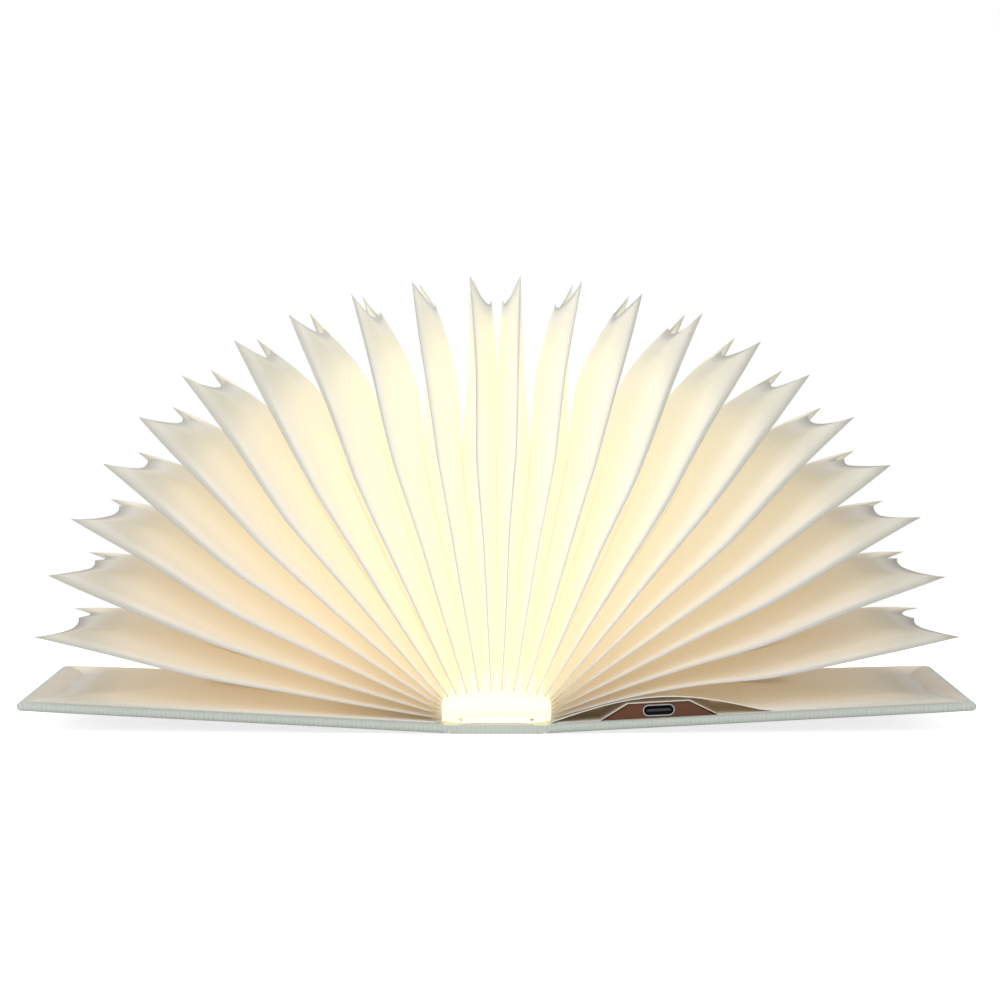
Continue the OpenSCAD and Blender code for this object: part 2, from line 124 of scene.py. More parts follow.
# %% [markdown]
# ## The sizes of the paper
# The covers, the sleeve and the pages share a few driving sizes. They are kept in millimetres, as
# on the solid model. The fan's angles are measured from upright: zero is the middle of the fan.

# %% Paper sizes
HINGE_X, HINGE_Z = 12.5, 0.95
COVER_LIFT = 3.0                               # slope of an open cover, in degrees
FAN_HALF = 90 - COVER_LIFT
FOLDS = 12                                     # outer folds on each side
CROWD = 1.1                                    # above 1, the folds crowd at the top of the fan
PAGE_W, PAGE_L, PLEAT_DEPTH = 117.0, 154.0, 52.0
PAGE_START = 0.35                              # gap between the sleeve and a page
SLEEVE_BULGE = 2.7                             # from a hinge out to the side of the sleeve
SLEEVE_X = HINGE_X + SLEEVE_BULGE
SLEEVE_TOP = 11.1
SHOULDER_DROP = 2.9
SHOULDER = SLEEVE_TOP - SHOULDER_DROP
PAGE_REST = 1.8                                # top of an end leaf, above the hinge
PAGE_SEAT = 0.02                               # room between an end leaf and the last page
SLEEVE_FOOT = (HINGE_Z + SLEEVE_BULGE * math.tan(math.radians(COVER_LIFT))
               + (PAGE_REST + PAGE_SEAT) / math.cos(math.radians(COVER_LIFT)))
MODULE_HEIGHT, MODULE_X = 4.35, 33.25          # above its cover, and out from the hinge
MODULE_LIFT = 1.3 * MODULE_HEIGHT
MODULE_MID = MODULE_X - SLEEVE_BULGE
PAPER_T = 0.2


def fold_angle(i):
    """Angle from upright of outer fold i, counted from the middle of the fan to the cover."""
    return FAN_HALF * ((i - 0.5) / (FOLDS - 0.5)) ** CROWD


def valley_angle(i):
    """Angle of the inner fold between outer folds i and i + 1."""
    return 0.0 if i == 0 else (fold_angle(i) + fold_angle(i + 1)) / 2


fold_angles = [round(fold_angle(i), 1) for i in range(1, FOLDS + 1)]
print("outer folds of one side, in degrees:", fold_angles)

# %% [markdown]
# ## One folded page as a rule
# Every page of the fan is the same piece of folded paper at another angle, so one Geometry Nodes
# tree makes them all. The tree starts from a flat grid. Along the grid runs the outer fold: up the
# tail edge from the spine, along the fore-edge, and down the head edge. Across the grid runs the
# depth of the pleat: from one inner fold, over the outer fold in the middle, to the other.
# Each point is then set on its page: `reach` is its distance from the sleeve and `swing` its angle.
# A page can bend only across its own face, and that bend holds the droop of the low pages, the
# bow of the fore-edge and the rise over the charging module.

# %% Page tree
END_STEPS, FORE_STEPS, SIDE_STEPS = 26, 40, 7
STRIP_STEPS, STRIP_SIDE_STEPS = 24, 6
TURN_IN = 6.5             # width of the sleeve's flap over each end of the light bar
STRIP_START = 0.02        # gap between the sleeve's middle surface and its drawn strip
HUMP_SHARE, HUMP_FADE = 2.2, 1.5               # how narrow the fore-edge's hump is, how soft
KINK_AT, KINK_REACH = 0.58, 0.2                # shares of the way out where a fold kinks
WAVES_OUT, WAVES_ALONG, WAVE_STEP = 11, 9, 2.4     # of the paper's wave; the step is per page
DROOP_FADE, MODULE_FADE, SETTLE_FADE = 6, 10, 8    # higher keeps it nearer to the cover
FULL_BELLY_AT = 25        # degrees from upright where the pages have their whole belly
CLOSED_FROM, CLOSED_LIFT = 0.8, 0.83           # pages that rise over the module when closed
CORE_SPAN, CORE_HEIGHT, NEAREST = 36, 24, 4    # the middle pages turn about a point further off
WELD = 0.01
LEAF_SIZES = {
    "Side": 1.0, "Outer angle": 40.0, "Inner angle low": 35.0, "Inner angle high": 45.0,
    "High leaf": 1.0, "Page width": PAGE_W, "Page length": PAGE_L, "Pleat depth": PLEAT_DEPTH,
    "Edge sag": 9.0, "Corner sharpness": 2.6, "Edge hump": 2.2, "Edge bow": 5.0, "Droop": 3.4,
    "Kink": 0.7, "Module lift": 0.0, "Has flap": 1.0, "Leaf belly": 6.5, "Paper wave": 0.35,
    "Number": 1.0,
}


def degrees(term):
    return term * (math.pi / 180)


def page_aside(angle, reach, y, bend, sizes):
    """How far a point lies off its straight page, towards the cover: bend, droop and rise."""
    hang = 1 - (angle / FAN_HALF) ** DROOP_FADE
    droop = hang * degrees(angle).sin() * (reach * (math.pi / PAGE_W)).sin()
    rise = module_rise((angle / FAN_HALF) ** MODULE_FADE, reach, y, sizes)
    return bend + droop * sizes["Droop"] - rise


def module_rise(share, reach, y, sizes):
    """A share of the rise that takes a page over the charging module."""
    near_module = ((reach / MODULE_MID).at_most(2) * (math.pi / 2)).sin() * y.below(0)
    return share * near_module * sizes["Module lift"]


def page_place(angle, reach, y, aside, sizes):
    """Where a point lies: reach out from the sleeve at this angle, and aside from that line."""
    turn = degrees(angle)
    twice = degrees((angle * 2).at_most(90))
    high = SHOULDER + degrees(angle * 2).cos().at_least(0) * SHOULDER_DROP
    low = SHOULDER - (angle - 45).at_least(0) * ((SHOULDER - SLEEVE_FOOT) / (FAN_HALF - 45))
    root_x, root_z = twice.sin() * SLEEVE_X, high + low - SHOULDER
    x = root_x + turn.sin() * reach + turn.cos() * aside
    z = root_z + turn.cos() * reach - turn.sin() * aside
    return x * sizes["Side"], y, z


def set_place(tree, mesh, x, y, z):
    """Moves every point of mesh to (x, y, z), given in millimetres."""
    vector = tree.nodes.new("ShaderNodeCombineXYZ")
    for socket, value in zip(vector.inputs, (x * MM, y * MM, z * MM)):
        tree.links.new(value.source, socket)
    place = tree.nodes.new("GeometryNodeSetPosition")
    tree.links.new(mesh, place.inputs["Geometry"])
    tree.links.new(vector.outputs[0], place.inputs["Position"])
    return place.outputs["Geometry"]


def keep_value(tree, mesh, name, value):
    """Stores a number on every point under this name, for the material or the motion."""
    store = tree.nodes.new("GeometryNodeStoreNamedAttribute")
    store.data_type = "FLOAT"
    store.domain = "POINT"
    store.inputs["Name"].default_value = name
    tree.links.new(mesh, store.inputs["Geometry"])
    tree.links.new(value.source, store.inputs["Value"])
    return store.outputs["Geometry"]


def new_grid(tree, along_steps, across_steps):
    """A grid with its two places as terms: along from 0 to 1 and across from -1 to 1."""
    grid = tree.nodes.new("GeometryNodeMeshGrid")
    grid.inputs["Size X"].default_value = 1
    grid.inputs["Size Y"].default_value = 2
    grid.inputs["Vertices X"].default_value = along_steps + 1
    grid.inputs["Vertices Y"].default_value = across_steps + 1
    position = tree.nodes.new("GeometryNodeInputPosition")
    split = tree.nodes.new("ShaderNodeSeparateXYZ")
    tree.links.new(position.outputs[0], split.inputs[0])
    along = Term(tree, split.outputs[0]) + 0.5
    across = Term(tree, split.outputs[1])
    mesh = keep_value(tree, grid.outputs["Mesh"], "along", along)
    mesh = keep_value(tree, mesh, "across", across)
    return mesh


def stored(tree, name):
    """A number kept on the points under this name."""
    node = tree.nodes.new("GeometryNodeInputNamedAttribute")
    node.data_type = "FLOAT"
    node.inputs["Name"].default_value = name
    return Term(tree, node.outputs["Attribute"])


def mix(a, b, share):
    """A value from a (share 0) to b (share 1), for terms and for plain numbers."""
    return a + (b - a) * share


def turn_share(swing, sizes):
    """Where an angle lies between the page's two inner folds: 0 at the low one, 1 at the high."""
    low, high = sizes["Inner angle low"], sizes["Inner angle high"]
    return (swing - low) / (high - low)


def build_page_tree():
    """The tree with the leaves of one page and the strip of the sleeve under it."""
    tree = bpy.data.node_groups.new("folded page", "GeometryNodeTree")
    tree.interface.new_socket("Geometry", in_out="INPUT", socket_type="NodeSocketGeometry")
    tree.interface.new_socket("Paper", in_out="INPUT", socket_type="NodeSocketMaterial")
    sizes = new_inputs(tree, LEAF_SIZES)
    tree.interface.new_socket("Geometry", in_out="OUTPUT", socket_type="NodeSocketGeometry")

    # Leaves: along the outer fold and across the pleat.
    mesh = new_grid(tree, 2 * END_STEPS + FORE_STEPS, 2 * SIDE_STEPS)
    across = stored(tree, "across")
    high_side = 1 - across.below(0)
    across = across * (1 - high_side * (1 - sizes["High leaf"]))
    depth = across.size()
    step = stored(tree, "along") * (2 * END_STEPS + FORE_STEPS)
    tail = (step / END_STEPS).held()
    fore = ((step - END_STEPS) / FORE_STEPS).held()
    head = ((step - END_STEPS - FORE_STEPS) / END_STEPS).held()
    out = tail - head
    from_middle = (fore * 2 - 1).size()
    sag = (1 - from_middle ** sizes["Corner sharpness"]) * out.at_least(0) * sizes["Edge sag"]
    hump = (1 - from_middle * HUMP_SHARE).at_least(0) ** HUMP_FADE * sizes["Edge hump"]
    outer_reach = out * (sizes["Page width"] - PAGE_START) + PAGE_START - sag + hump
    outer_y = sizes["Page length"] * (fore - 0.5)
    inner_reach = out * (sizes["Page width"] - sizes["Pleat depth"] - PAGE_START) + PAGE_START
    inner_y = (sizes["Page length"] - sizes["Pleat depth"] * 2) * (fore - 0.5)
    inner_angle = mix(sizes["Inner angle low"], sizes["Inner angle high"], high_side)
    settle = 1 - (sizes["Outer angle"] / FAN_HALF) ** SETTLE_FADE
    bow = (1 - from_middle * from_middle) * sizes["Edge bow"] * settle
    kink_near = (1 - ((out - KINK_AT) / KINK_REACH).size()).at_least(0)
    wave_place = out * WAVES_OUT + sizes["Number"] * WAVE_STEP + fore * WAVES_ALONG
    wave = wave_place.sin() * sizes["Paper wave"] * out * settle
    outer_bend = kink_near * sizes["Kink"] * settle + wave - bow
    zero = out * 0
    outer_aside = page_aside(sizes["Outer angle"], outer_reach, outer_y, outer_bend, sizes)
    inner_aside = page_aside(inner_angle, inner_reach, inner_y, zero, sizes)
    outer = page_place(sizes["Outer angle"], outer_reach, outer_y, outer_aside, sizes)
    inner = page_place(inner_angle, inner_reach, inner_y, inner_aside, sizes)
    spread = (sizes["Outer angle"] / FULL_BELLY_AT).at_most(1) * settle * -1
    belly = (depth * math.pi).sin() * sizes["Leaf belly"] * out * spread
    turn = degrees(sizes["Outer angle"])
    push = (turn.cos() * belly * sizes["Side"], zero, turn.sin() * belly * -1)
    place = [mix(a, b, depth) + c for a, b, c in zip(outer, inner, push)]
    swing = mix(sizes["Outer angle"], inner_angle, depth)
    reach = mix(outer_reach, inner_reach, depth)
    # A bent point turns as a page at its own angle would, so the closed pages lie flat together,
    # but for the rise over the module, which every page near it then needs.
    low_part = swing / FAN_HALF * (1 + CLOSED_FROM) - CLOSED_FROM
    closed_share = low_part.at_least(0) * CLOSED_LIFT
    closed_rise = module_rise(closed_share, reach, mix(outer_y, inner_y, depth), sizes)
    flattened = mix(outer_aside, inner_aside, depth) + belly + closed_rise
    from_pivot = reach + (1 - swing / CORE_SPAN).at_least(0) * CORE_HEIGHT
    true_swing = swing + flattened / from_pivot.at_least(NEAREST) * (180 / math.pi)
    share = turn_share(true_swing, sizes)
    leaves = keep_value(tree, mesh, "turn_share", share)
    leaves = keep_value(tree, leaves, "fold_depth", depth)
    leaves = keep_value(tree, leaves, "page_reach", reach / PAGE_W)
    leaves = keep_value(tree, leaves, "page_swing", swing * sizes["Side"] / FAN_HALF)
    weld = tree.nodes.new("GeometryNodeMergeByDistance")
    weld.inputs["Distance"].default_value = WELD * MM
    tree.links.new(set_place(tree, leaves, *place), weld.inputs["Geometry"])
    leaves = weld.outputs["Geometry"]

    # Strip of the sleeve that this page stands on, turned in over the bar's ends.
    strip = new_grid(tree, STRIP_STEPS, STRIP_SIDE_STEPS)
    step = stored(tree, "along") * STRIP_STEPS
    turned_in = ((1 - step).held() + (step - (STRIP_STEPS - 1)).held()) * sizes["Has flap"]
    across = (stored(tree, "across") + 1) / 2
    last_angle = mix(sizes["Outer angle"], sizes["Inner angle high"], sizes["High leaf"])
    swing = mix(sizes["Inner angle low"], last_angle, across)
    strip_y = sizes["Page length"] * (((step - 1) / (STRIP_STEPS - 2)).held() - 0.5)
    place = page_place(swing, turned_in * -TURN_IN + STRIP_START, strip_y, swing * 0, sizes)
    true_swing = swing * (1 - turned_in)  # the flap's inner edge stays where it is
    share = turn_share(true_swing, sizes)
    strip = keep_value(tree, strip, "turn_share", share)
    strip = keep_value(tree, strip, "fold_depth", swing * 0 + 1)
    strip = keep_value(tree, strip, "page_reach", swing * 0)
    strip = keep_value(tree, strip, "page_swing", swing * 0)
    strip = set_place(tree, strip, *place)

    join = tree.nodes.new("GeometryNodeJoinGeometry")
    realize = tree.nodes.new("GeometryNodeRealizeInstances")
    material = tree.nodes.new("GeometryNodeSetMaterial")
    result = tree.nodes.new("NodeGroupOutput")
    for part in (leaves, strip):
        tree.links.new(part, join.inputs[0])
    tree.links.new(join.outputs[0], realize.inputs[0])
    tree.links.new(realize.outputs[0], material.inputs["Geometry"])
    entry = next(n for n in tree.nodes if n.type == "GROUP_INPUT")
    tree.links.new(entry.outputs["Paper"], material.inputs["Material"])
    tree.links.new(material.outputs[0], result.inputs[0])
    return tree


page_tree = build_page_tree()
socket_of = {item.name: item.identifier for item in page_tree.interface.items_tree
             if item.in_out == "INPUT"}
print("page tree:", len(page_tree.nodes), "nodes")

# %% [markdown]
# ## Shared surface effects
# Three effects are node groups, so that a finish only says which it shows. "Fibre" is the fine
# cloud of a pressed paper sheet, "weave" is the crossing threads of book cloth, and "lamp glow" is
# the warm light that passes through the paper: strong by the light bar and in the depth of a
# pleat, and weak at the tips and on the doubled paper of a fold. That doubled lip thins out
# towards the middle of the fan, and the far corners catch a little light of their own.

# %% Effect groups
def new_group(name, inputs, outputs):
    """A shader node group with number inputs; returns it with its terms and its output node."""
    group = bpy.data.node_groups.new(name, "ShaderNodeTree")
    terms = new_inputs(group, inputs)
    for output, kind in outputs.items():
        group.interface.new_socket(output, in_out="OUTPUT", socket_type=kind)
    return group, terms, group.nodes.new("NodeGroupOutput")


def add_noise(tree, scale, detail, stretch=(1, 1, 1)):
    """Noise on Object coordinates, stretched along the axes."""
    place = tree.nodes.new("ShaderNodeTexCoord")
    mapping = tree.nodes.new("ShaderNodeMapping")
    mapping.inputs["Scale"].default_value = stretch
    noise = tree.nodes.new("ShaderNodeTexNoise")
    noise.inputs["Scale"].default_value = scale
    noise.inputs["Detail"].default_value = detail
    tree.links.new(place.outputs["Object"], mapping.inputs["Vector"])
    tree.links.new(mapping.outputs[0], noise.inputs["Vector"])
    return Term(tree, noise.outputs["Fac"])


def blend_colours(tree, factor, low, high):
    """A colour between low and high; each is a colour value or a socket."""
    node = tree.nodes.new("ShaderNodeMix")
    node.data_type = "RGBA"
    tree.links.new(factor.source, node.inputs["Factor"])
    for socket, colour in ((node.inputs[6], low), (node.inputs[7], high)):
        if isinstance(colour, Term):
            tree.links.new(colour.source, socket)
        else:
            socket.default_value = (*colour, 1)
    return Term(tree, node.outputs[2])


def object_place(tree):
    """The sockets X, Y and Z of a point's place on its object, in metres."""
    place = tree.nodes.new("ShaderNodeTexCoord")
    split = tree.nodes.new("ShaderNodeSeparateXYZ")
    tree.links.new(place.outputs["Object"], split.inputs[0])
    return split.outputs


def surface_value(tree, name):
    """A number stored on the surface under this name."""
    node = tree.nodes.new("ShaderNodeAttribute")
    node.attribute_name = name
    return Term(tree, node.outputs["Fac"])


def build_fibre():
    """Height of a pressed sheet: a fine cloud with short strands in it."""
    group, terms, result = new_group("fibre", {"Strength": 0.5}, {"Height": "NodeSocketFloat"})
    cloud = add_noise(group, scale=260, detail=4)
    strands = add_noise(group, scale=900, detail=2, stretch=(1, 0.25, 1))
    height = (cloud * 0.6 + strands * 0.4) * terms["Strength"]
    group.links.new(height.source, result.inputs["Height"])
    return group


def build_weave():
    """Height of crossing threads, and Thread, a value that changes from thread to thread."""
    group, terms, result = new_group("weave", {"Threads per metre": 1500.0, "Unevenness": 0.3},
                                     {"Height": "NodeSocketFloat", "Thread": "NodeSocketFloat"})
    place = object_place(group)
    pitch = terms["Threads per metre"] * math.pi
    wobble = add_noise(group, scale=60, detail=3) * terms["Unevenness"] * 4
    warp = (Term(group, place["X"]) * pitch + wobble).sin()
    weft = (Term(group, place["Y"]) * pitch + wobble).sin()
    height = (warp * weft + 1) / 2
    slub = add_noise(group, scale=420, detail=2, stretch=(1, 0.12, 1))
    group.links.new(height.source, result.inputs["Height"])
    group.links.new((height * 0.5 + slub * 0.5).source, result.inputs["Thread"])
    return group


GLOW_WARM = (1.0, 0.79, 0.52)
GLOW_PALE = (1.0, 0.97, 0.74)
LIP_SOFT = 0.025          # how softly a doubled lip ends, as a share of the pleat's depth
LIP_LIGHT = 0.32          # share of the light that still passes through a lip or a tip
TIP_SOFT = 7              # higher makes the glow end more sharply towards the tips
HEAD_FROM, HEAD_REACH = 0.03, 0.04             # metres from the middle to the head end


def smooth(term):
    """Turns a straight ramp from 0 to 1 into one that starts and ends gently."""
    ramp = term.held()
    return ramp * ramp * (3 - ramp * 2)


def build_lamp_glow():
    """Light: Colour is the glow at its strength, Lip is 1 where two layers of paper at a fold hold it back
    and on the tips, which get little of it.
    """
    group, terms, result = new_group(
        "lamp glow", {"Reach": 1.7, "Crown": 0.33, "Front side": 0.14, "Back side": 0.097,
                      "Root": 0.2, "Lip": 0.03, "Tip lip": 0.035, "Tip": 0.74, "Far corner": 0.2,
                      "Corner from": 0.8},
        {"Colour": "NodeSocketColor", "Lip": "NodeSocketFloat"})
    reach, side_swing = surface_value(group, "page_reach"), surface_value(group, "page_swing")
    swing = side_swing.size()
    depth = surface_value(group, "fold_depth")
    # The light fades on its way out. It is strongest in the upright pages, and weak at the foot
    # of the low ones.
    fall = ((reach / terms["Reach"]) ** 2.2 * -1).math("EXPONENT")
    cover_side = mix(terms["Front side"], terms["Back side"], (side_swing * 9).held())
    top = mix(terms["Crown"], cover_side * (reach * 2.5 + 0.2).held(), (swing ** 1.5).held())
    # A lip of doubled paper runs along each fold, and the tips get little of the light.
    lip_width = (terms["Lip"] + reach * reach * terms["Tip lip"]) * smooth(swing * 2.5)
    inside = smooth((depth - lip_width) / LIP_SOFT)
    tip_start = reach - terms["Tip"] - depth * 0.12
    tip = smooth(tip_start * TIP_SOFT) * smooth(swing * 2 + 0.1)
    warm = inside * (1 - tip)
    # The pleats' feet shine beside the bar, and light falls on the far corners from behind.
    root = smooth(depth * 1.3 - reach * 28) * terms["Root"]
    head_end = smooth((Term(group, object_place(group)["Y"]) - HEAD_FROM) / HEAD_REACH)
    corner = smooth((reach - terms["Corner from"]) * TIP_SOFT)
    far_corner = head_end * corner * terms["Far corner"]
    amount = fall * top * (warm * (1 - LIP_LIGHT) + LIP_LIGHT) + root + far_corner
    colour = blend_colours(group, smooth(1.2 - swing * 1.3), GLOW_WARM, GLOW_PALE)
    scale = group.nodes.new("ShaderNodeVectorMath")
    scale.operation = "SCALE"
    group.links.new(colour.source, scale.inputs[0])
    group.links.new(amount.source, scale.inputs["Scale"])
    group.links.new(scale.outputs[0], result.inputs["Colour"])
    group.links.new((1 - warm).source, result.inputs["Lip"])
    return group


FIBRE, WEAVE, LAMP_GLOW = build_fibre(), build_weave(), build_lamp_glow()

# %% [markdown]
# ## Finishes
# Each finish is one material with its own shader. The groups only feed it colours and heights.

# %% Finishes
def new_finish(name, colour, roughness, **shader_values):
    """A plain material; returns it with its tree and shader."""
    finish = bpy.data.materials.new(name)
    finish.use_nodes = True
    tree = finish.node_tree
    shader = tree.nodes["Principled BSDF"]
    shader.inputs["Base Color"].default_value = (*colour, 1)
    shader.inputs["Roughness"].default_value = roughness
    for socket, value in shader_values.items():
        shader.inputs[socket.replace("_", " ")].default_value = value
    return finish, tree, shader


def add_group(tree, group, **values):
    """Places an effect group in a material, with its own values."""
    node = tree.nodes.new("ShaderNodeGroup")
    node.node_tree = group
    for socket, value in values.items():
        node.inputs[socket].default_value = value
    return node


def add_bump(tree, shader, height, strength, distance):
    """Roughens a shader's surface; distance is in metres."""
    bump = tree.nodes.new("ShaderNodeBump")
    bump.inputs["Strength"].default_value = strength
    bump.inputs["Distance"].default_value = distance
    tree.links.new(height, bump.inputs["Height"])
    tree.links.new(bump.outputs[0], shader.inputs["Normal"])


PAPER_GRAIN = {"strength": 0.25, "distance": 0.0002}


def page_finish():
    finish, tree, shader = new_finish("page paper", (0.8, 0.72, 0.62), 0.85)
    glow = add_group(tree, LAMP_GLOW)
    lip = Term(tree, glow.outputs["Lip"])
    reach = surface_value(tree, "page_reach")
    cloud = add_noise(tree, scale=45, detail=3)
    # The sheet is tan near the bar and paler towards the tips: the tan is painted warm lamp light, and the
    # cloud is the paper's own uneven tone.
    sheet = blend_colours(tree, (reach * 1.1 + cloud * 0.2 - 0.15).held(),
                          (0.81, 0.75, 0.65), (0.83, 0.80, 0.73))
    # On the lips and the tips the paper is near white out to half the page and turns grey-tan towards the
    # tips; that grey-tan is painted shade.
    lip_white_tip_shade = blend_colours(tree, smooth(reach * 3 - 1.5),
                            (0.88, 0.88, 0.85), (0.78, 0.76, 0.68))
    body = blend_colours(tree, lip.held(), sheet, lip_white_tip_shade)
    tree.links.new(body.source, shader.inputs["Base Color"])
    tree.links.new(glow.outputs["Colour"], shader.inputs["Emission Color"])
    shader.inputs["Emission Strength"].default_value = 1.0
    fibre = add_group(tree, FIBRE, Strength=0.6)
    add_bump(tree, shader, fibre.outputs["Height"], **PAPER_GRAIN)
    return finish


def end_paper_finish():
    finish, tree, shader = new_finish("end paper", (0.72, 0.66, 0.56), 0.85)
    cloud = add_noise(tree, scale=60, detail=3)
    sheet = blend_colours(tree, cloud, (0.68, 0.60, 0.50), (0.78, 0.73, 0.66))
    tree.links.new(sheet.source, shader.inputs["Base Color"])
    fibre = add_group(tree, FIBRE, Strength=0.6)
    add_bump(tree, shader, fibre.outputs["Height"], **PAPER_GRAIN)
    return finish


def cloth_finish():
    finish, tree, shader = new_finish("book cloth", (0.55, 0.60, 0.55), 0.8, Sheen_Weight=0.15)
    weave = add_group(tree, WEAVE)
    thread = Term(tree, weave.outputs["Thread"])
    cloth = blend_colours(tree, thread, (0.50, 0.56, 0.51), (0.66, 0.70, 0.64))
    tree.links.new(cloth.source, shader.inputs["Base Color"])
    add_bump(tree, shader, weave.outputs["Height"], strength=0.35, distance=0.00015)
    return finish


def board_finish():
    finish, tree, shader = new_finish("book board", (0.45, 0.36, 0.25), 0.9)
    speck = add_noise(tree, scale=700, detail=4)
    board = blend_colours(tree, speck, (0.33, 0.26, 0.18), (0.52, 0.43, 0.31))
    tree.links.new(board.source, shader.inputs["Base Color"])
    add_bump(tree, shader, speck.source, strength=0.3, distance=0.0002)
    return finish


def mottled_finish(name, low, high, roughness, scale):
    """A finish with a slight change of colour and of shine over the surface."""
    finish, tree, shader = new_finish(name, high, roughness)
    cloud = add_noise(tree, scale, detail=4)
    colour = blend_colours(tree, cloud, low, high)
    tree.links.new(colour.source, shader.inputs["Base Color"])
    rough = (cloud - 0.5) * 0.2 + roughness
    tree.links.new(rough.source, shader.inputs["Roughness"])
    add_bump(tree, shader, cloud.source, strength=0.06, distance=0.0001)
    return finish


def lit_finish(name, colour, strength):
    """A piece that glows a little unevenly."""
    finish, tree, shader = new_finish(name, colour, 0.5, Emission_Strength=strength)
    cloud = add_noise(tree, scale=30, detail=2)
    lit = blend_colours(tree, cloud, tuple(c * 0.94 for c in colour), colour)
    tree.links.new(lit.source, shader.inputs["Emission Color"])
    return finish


def brushed_finish(name, low, high, roughness, grain):
    """A metal with streaks; grain stretches them along an axis."""
    finish, tree, shader = new_finish(name, high, roughness, Metallic=1.0)
    streak = add_noise(tree, scale=500, detail=3, stretch=grain)
    colour = blend_colours(tree, streak, low, high)
    tree.links.new(colour.source, shader.inputs["Base Color"])
    add_bump(tree, shader, streak.source, strength=0.08, distance=0.00005)
    return finish


WARM_WHITE = (1.0, 0.93, 0.72)
finishes = {
    "cover_cloth": cloth_finish(),
    "cover_board": board_finish(),
    "page_paper": page_finish(),
    "end_paper": end_paper_finish(),
    "adhesive_tape": mottled_finish(
        "foam tape", (0.70, 0.62, 0.42), (0.78, 0.70, 0.50), roughness=0.8, scale=300),
    "channel_metal": brushed_finish(
        "channel aluminium", (0.66, 0.67, 0.68), (0.80, 0.81, 0.82), 0.35, grain=(1, 0.02, 1)),
    "white_board": mottled_finish(
        "white circuit board", (0.85, 0.85, 0.82), (0.92, 0.92, 0.90), roughness=0.4, scale=200),
    "led_light": lit_finish("lit LEDs", (1.0, 0.93, 0.70), strength=1.0),
    "diffuser_plastic": lit_finish("lit diffuser", WARM_WHITE, strength=0.8),
    "cap_plastic": lit_finish("lit end caps", WARM_WHITE, strength=0.5),
    "magnet_metal": brushed_finish(
        "magnet nickel", (0.62, 0.62, 0.60), (0.76, 0.76, 0.74), 0.2, grain=(1, 1, 1)),
    "module_plastic": mottled_finish(
        "module plastic", (0.09, 0.024, 0.005), (0.15, 0.042, 0.010), roughness=0.6, scale=120),
    "cell_foil": brushed_finish(
        "cell foil", (0.60, 0.63, 0.66), (0.72, 0.75, 0.78), 0.4, grain=(1, 1, 1)),
    "lead_rubber": mottled_finish(
        "lead insulation", (0.45, 0.05, 0.04), (0.60, 0.08, 0.06), roughness=0.5, scale=300),
    "green_board": mottled_finish(
        "green circuit board", (0.02, 0.14, 0.06), (0.04, 0.22, 0.10), roughness=0.35, scale=200),
    "chip_plastic": mottled_finish(
        "chip plastic", (0.02, 0.02, 0.022), (0.04, 0.04, 0.045), roughness=0.5, scale=400),
    # The port's steel is darker than bare steel all over, so the inside of the port looks dark: painted
    # shade.
    "port_steel": brushed_finish(
        "port steel with painted shade", (0.34, 0.34, 0.35), (0.50, 0.50, 0.52), 0.3, grain=(1, 0.05, 1)),
    "tongue_plastic": mottled_finish(
        "tongue plastic", (0.012, 0.012, 0.012), (0.03, 0.03, 0.03), roughness=0.5, scale=400),
    "reed_glass": mottled_finish(
        "reed glass", (0.20, 0.40, 0.25), (0.28, 0.50, 0.32), roughness=0.1, scale=150),
    "flat_lead": mottled_finish(
        "flat lead", (0.80, 0.80, 0.77), (0.88, 0.88, 0.85), roughness=0.5, scale=200),
}
print(len(finishes), "finishes")

# %% [markdown]
# ## The solids that stay
# Everything but the pages and the sleeve is shown as the solid model has it. A node's record says
# which finish it takes.

# %% Finish the solids
slots = {part["node"]: part["material_slot"] for part in frame["record"]["subparts"]}
for name, node in frame["nodes"].items():
    node.data.materials.clear()
    node.data.materials.append(finishes[slots[name]])
print(len(frame["nodes"]), "solids have a finish")

# %% [markdown]
# ## The fan
# One object is made for each outer fold. The tree is run with that page's angles, its result is
# turned into a plain mesh, and Solidify gives the paper its thickness. A page lies between two
# inner folds, and each of those belongs to one body of the motion model. So the page blends
# between the two bodies, and the share of turn that the tree stored on each point says how much of
# each it follows. Two pages then meet in one inner fold at every pose.

# %% Make and join the pages
FRONT, BACK = -1, 1
FRONT_DROOP, BACK_DROOP = 3.4, 1.6             # how far the middle of a page hangs
LAST_ANGLE = 0.001                             # keeps the last page's two angles apart
BACK_NUMBER = 20                               # sets the waves of the back pages apart


def pleat_body(side, i):
    """The body of the pleat between outer folds i and i + 1 of one side."""
    if i == 0:
        return ("centre_pleat_left" if side == FRONT else "centre_pleat_right") + "_paper"
    return f"pleat_{FOLDS - i if side == FRONT else FOLDS - 1 + i:02d}_paper"


def page_sizes(side, i):
    """The tree's inputs for the page with outer fold i; the rest keep their starting values."""
    last, back = i == FOLDS, side == BACK
    return {
        "Side": side,
        "Number": i + (BACK_NUMBER if back else 0),
        "Outer angle": fold_angle(i),
        "Inner angle low": valley_angle(i - 1),
        "Inner angle high": fold_angle(i) + LAST_ANGLE if last else valley_angle(i),
        "High leaf": 0 if last else 1,
        "Has flap": 0 if last else 1,
        "Module lift": MODULE_LIFT if back else 0,
        "Droop": BACK_DROOP if back else FRONT_DROOP,
    }


